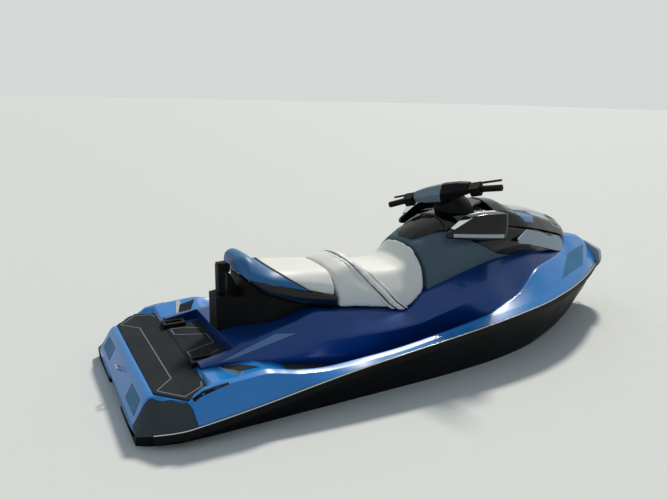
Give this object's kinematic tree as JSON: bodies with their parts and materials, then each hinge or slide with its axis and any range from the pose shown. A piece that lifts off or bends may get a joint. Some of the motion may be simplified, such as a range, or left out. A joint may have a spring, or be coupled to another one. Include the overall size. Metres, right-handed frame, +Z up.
{
  "type": "personal watercraft",
  "caption": "Sit-down water jet craft: hull and deck, straddle seats with a lift-off rear seat, steered handlebar, opening hood and glovebox, jet pump with reverse bucket, afloat.",
  "frame": {"origin": "amidships on the centreline, at the waterline of the craft afloat", "axes": "+X towards the bow, +Y to port, +Z up"},
  "size_m": [3.45, 1.255, 1.239],
  "materials": {
    "hull_black": "gloss",
    "deck_blue": "gloss",
    "body_navy": "metallic gloss",
    "trim_black": "grained",
    "cap_grey": "grained",
    "rail_rubber": "satin",
    "mat_foam": "textured foam",
    "seat_pale": "grained vinyl",
    "seat_blue": "grained vinyl",
    "gloss_black": "gloss",
    "panel_grey": "satin",
    "console_grey": "satin",
    "pump_aluminium": "cast and machined",
    "stainless": "polished",
    "engine_casing": "painted",
    "mirror_face": "mirror",
    "screen_glass": "gloss",
    "grip_rubber": "ribbed"
  },
  "bodies": {
    "craft": {"hull": "hull_black", "hull_quarter_port": "hull_black", "hull_quarter_starboard": "hull_black", "topside_port": "hull_black", "topside_starboard": "hull_black", "deck": "deck_blue", "gunwale_port": "deck_blue", "gunwale_starboard": "deck_blue", "centre_body_fore": "body_navy", "stern_cap_port": "cap_grey", "stern_cap_starboard": "cap_grey", "rub_rail": "rail_rubber", "bow_bumper": "cap_grey", "engine_block": "engine_casing", "centre_body": "body_navy", "console": "console_grey", "fairing": "gloss_black", "front_bin": "trim_black", "pedestal": "trim_black", "driver_seat": "seat_pale", "seat_bolster": "seat_pale", "front_panel_port": "panel_grey", "front_panel_starboard": "panel_grey", "mirror_pod_port": "gloss_black", "mirror_pod_starboard": "gloss_black", "mirror_glass": "mirror_face", "instrument_cowl": "gloss_black", "display": "screen_glass", "steering_column": "trim_black", "platform_mat": "mat_foam", "footwell_mats": "mat_foam", "accessory_bases": "trim_black", "tow_eye": "stainless", "bow_eye": "stainless", "sponsons": "trim_black", "jet_pump": "pump_aluminium", "ride_plate": "pump_aluminium", "intake_grate": "pump_aluminium"},
    "steering": {"handlebar": "trim_black", "handlebar_pad": "panel_grey", "grips": "grip_rubber", "switch_housings": "trim_black", "levers": "trim_black"},
    "trim_ring": {"trim_ring": "pump_aluminium"},
    "nozzle": {"steering_nozzle": "pump_aluminium"},
    "bucket": {"reverse_bucket": "trim_black"},
    "impeller": {"impeller": "stainless"},
    "hood": {"hood": "gloss_black"},
    "glovebox": {"glovebox_lid": "gloss_black"},
    "rear_seat": {"seat_shell": "trim_black", "seat_band": "seat_blue", "rear_seat": "seat_pale"},
    "pylon": {"pylon": "trim_black"}
  },
  "joints": [
    {"name": "handlebar_steer", "type": "hinge", "parent": "craft", "child": "steering", "pos_m": [0.215, 0, 0.893], "axis": [-0.6018, 0, 0.7986], "range_deg": [-50, 0]},
    {"name": "nozzle_trim", "type": "hinge", "parent": "craft", "child": "trim_ring", "pos_m": [-1.575, 0, -0.118], "axis": [0, 1, 0], "range_deg": [-6, 6]},
    {"name": "nozzle_steer", "type": "hinge", "parent": "trim_ring", "child": "nozzle", "pos_m": [-1.575, 0, -0.118], "axis": [0, 0, 1], "range_deg": [0, 40]},
    {"name": "bucket_swing", "type": "hinge", "parent": "craft", "child": "bucket", "pos_m": [-1.575, 0, -0.118], "axis": [0, -1, 0], "range_deg": [0, 75]},
    {"name": "impeller_spin", "type": "hinge", "parent": "craft", "child": "impeller", "pos_m": [-1.34, 0, -0.118], "axis": [1, 0, 0], "continuous": true},
    {"name": "hood_open", "type": "hinge", "parent": "craft", "child": "hood", "pos_m": [1.297, 0, 0.551], "axis": [0, 1, 0], "range_deg": [0, 55]},
    {"name": "glovebox_open", "type": "hinge", "parent": "craft", "child": "glovebox", "pos_m": [0.127, 0, 0.757], "axis": [0, 1, 0], "range_deg": [0, 70]},
    {"name": "rear_seat_lift", "type": "slide", "parent": "craft", "child": "rear_seat", "axis": [0, 0, 1], "range_m": [0, 0.3]},
    {"name": "pylon_slide", "type": "slide", "parent": "craft", "child": "pylon", "axis": [0, 0, 1], "range_m": [0, 0.22]}
  ],
  "couplings": [
    {"joint": "nozzle_steer", "follows": "handlebar_steer", "ratio": -0.8}
  ]
}
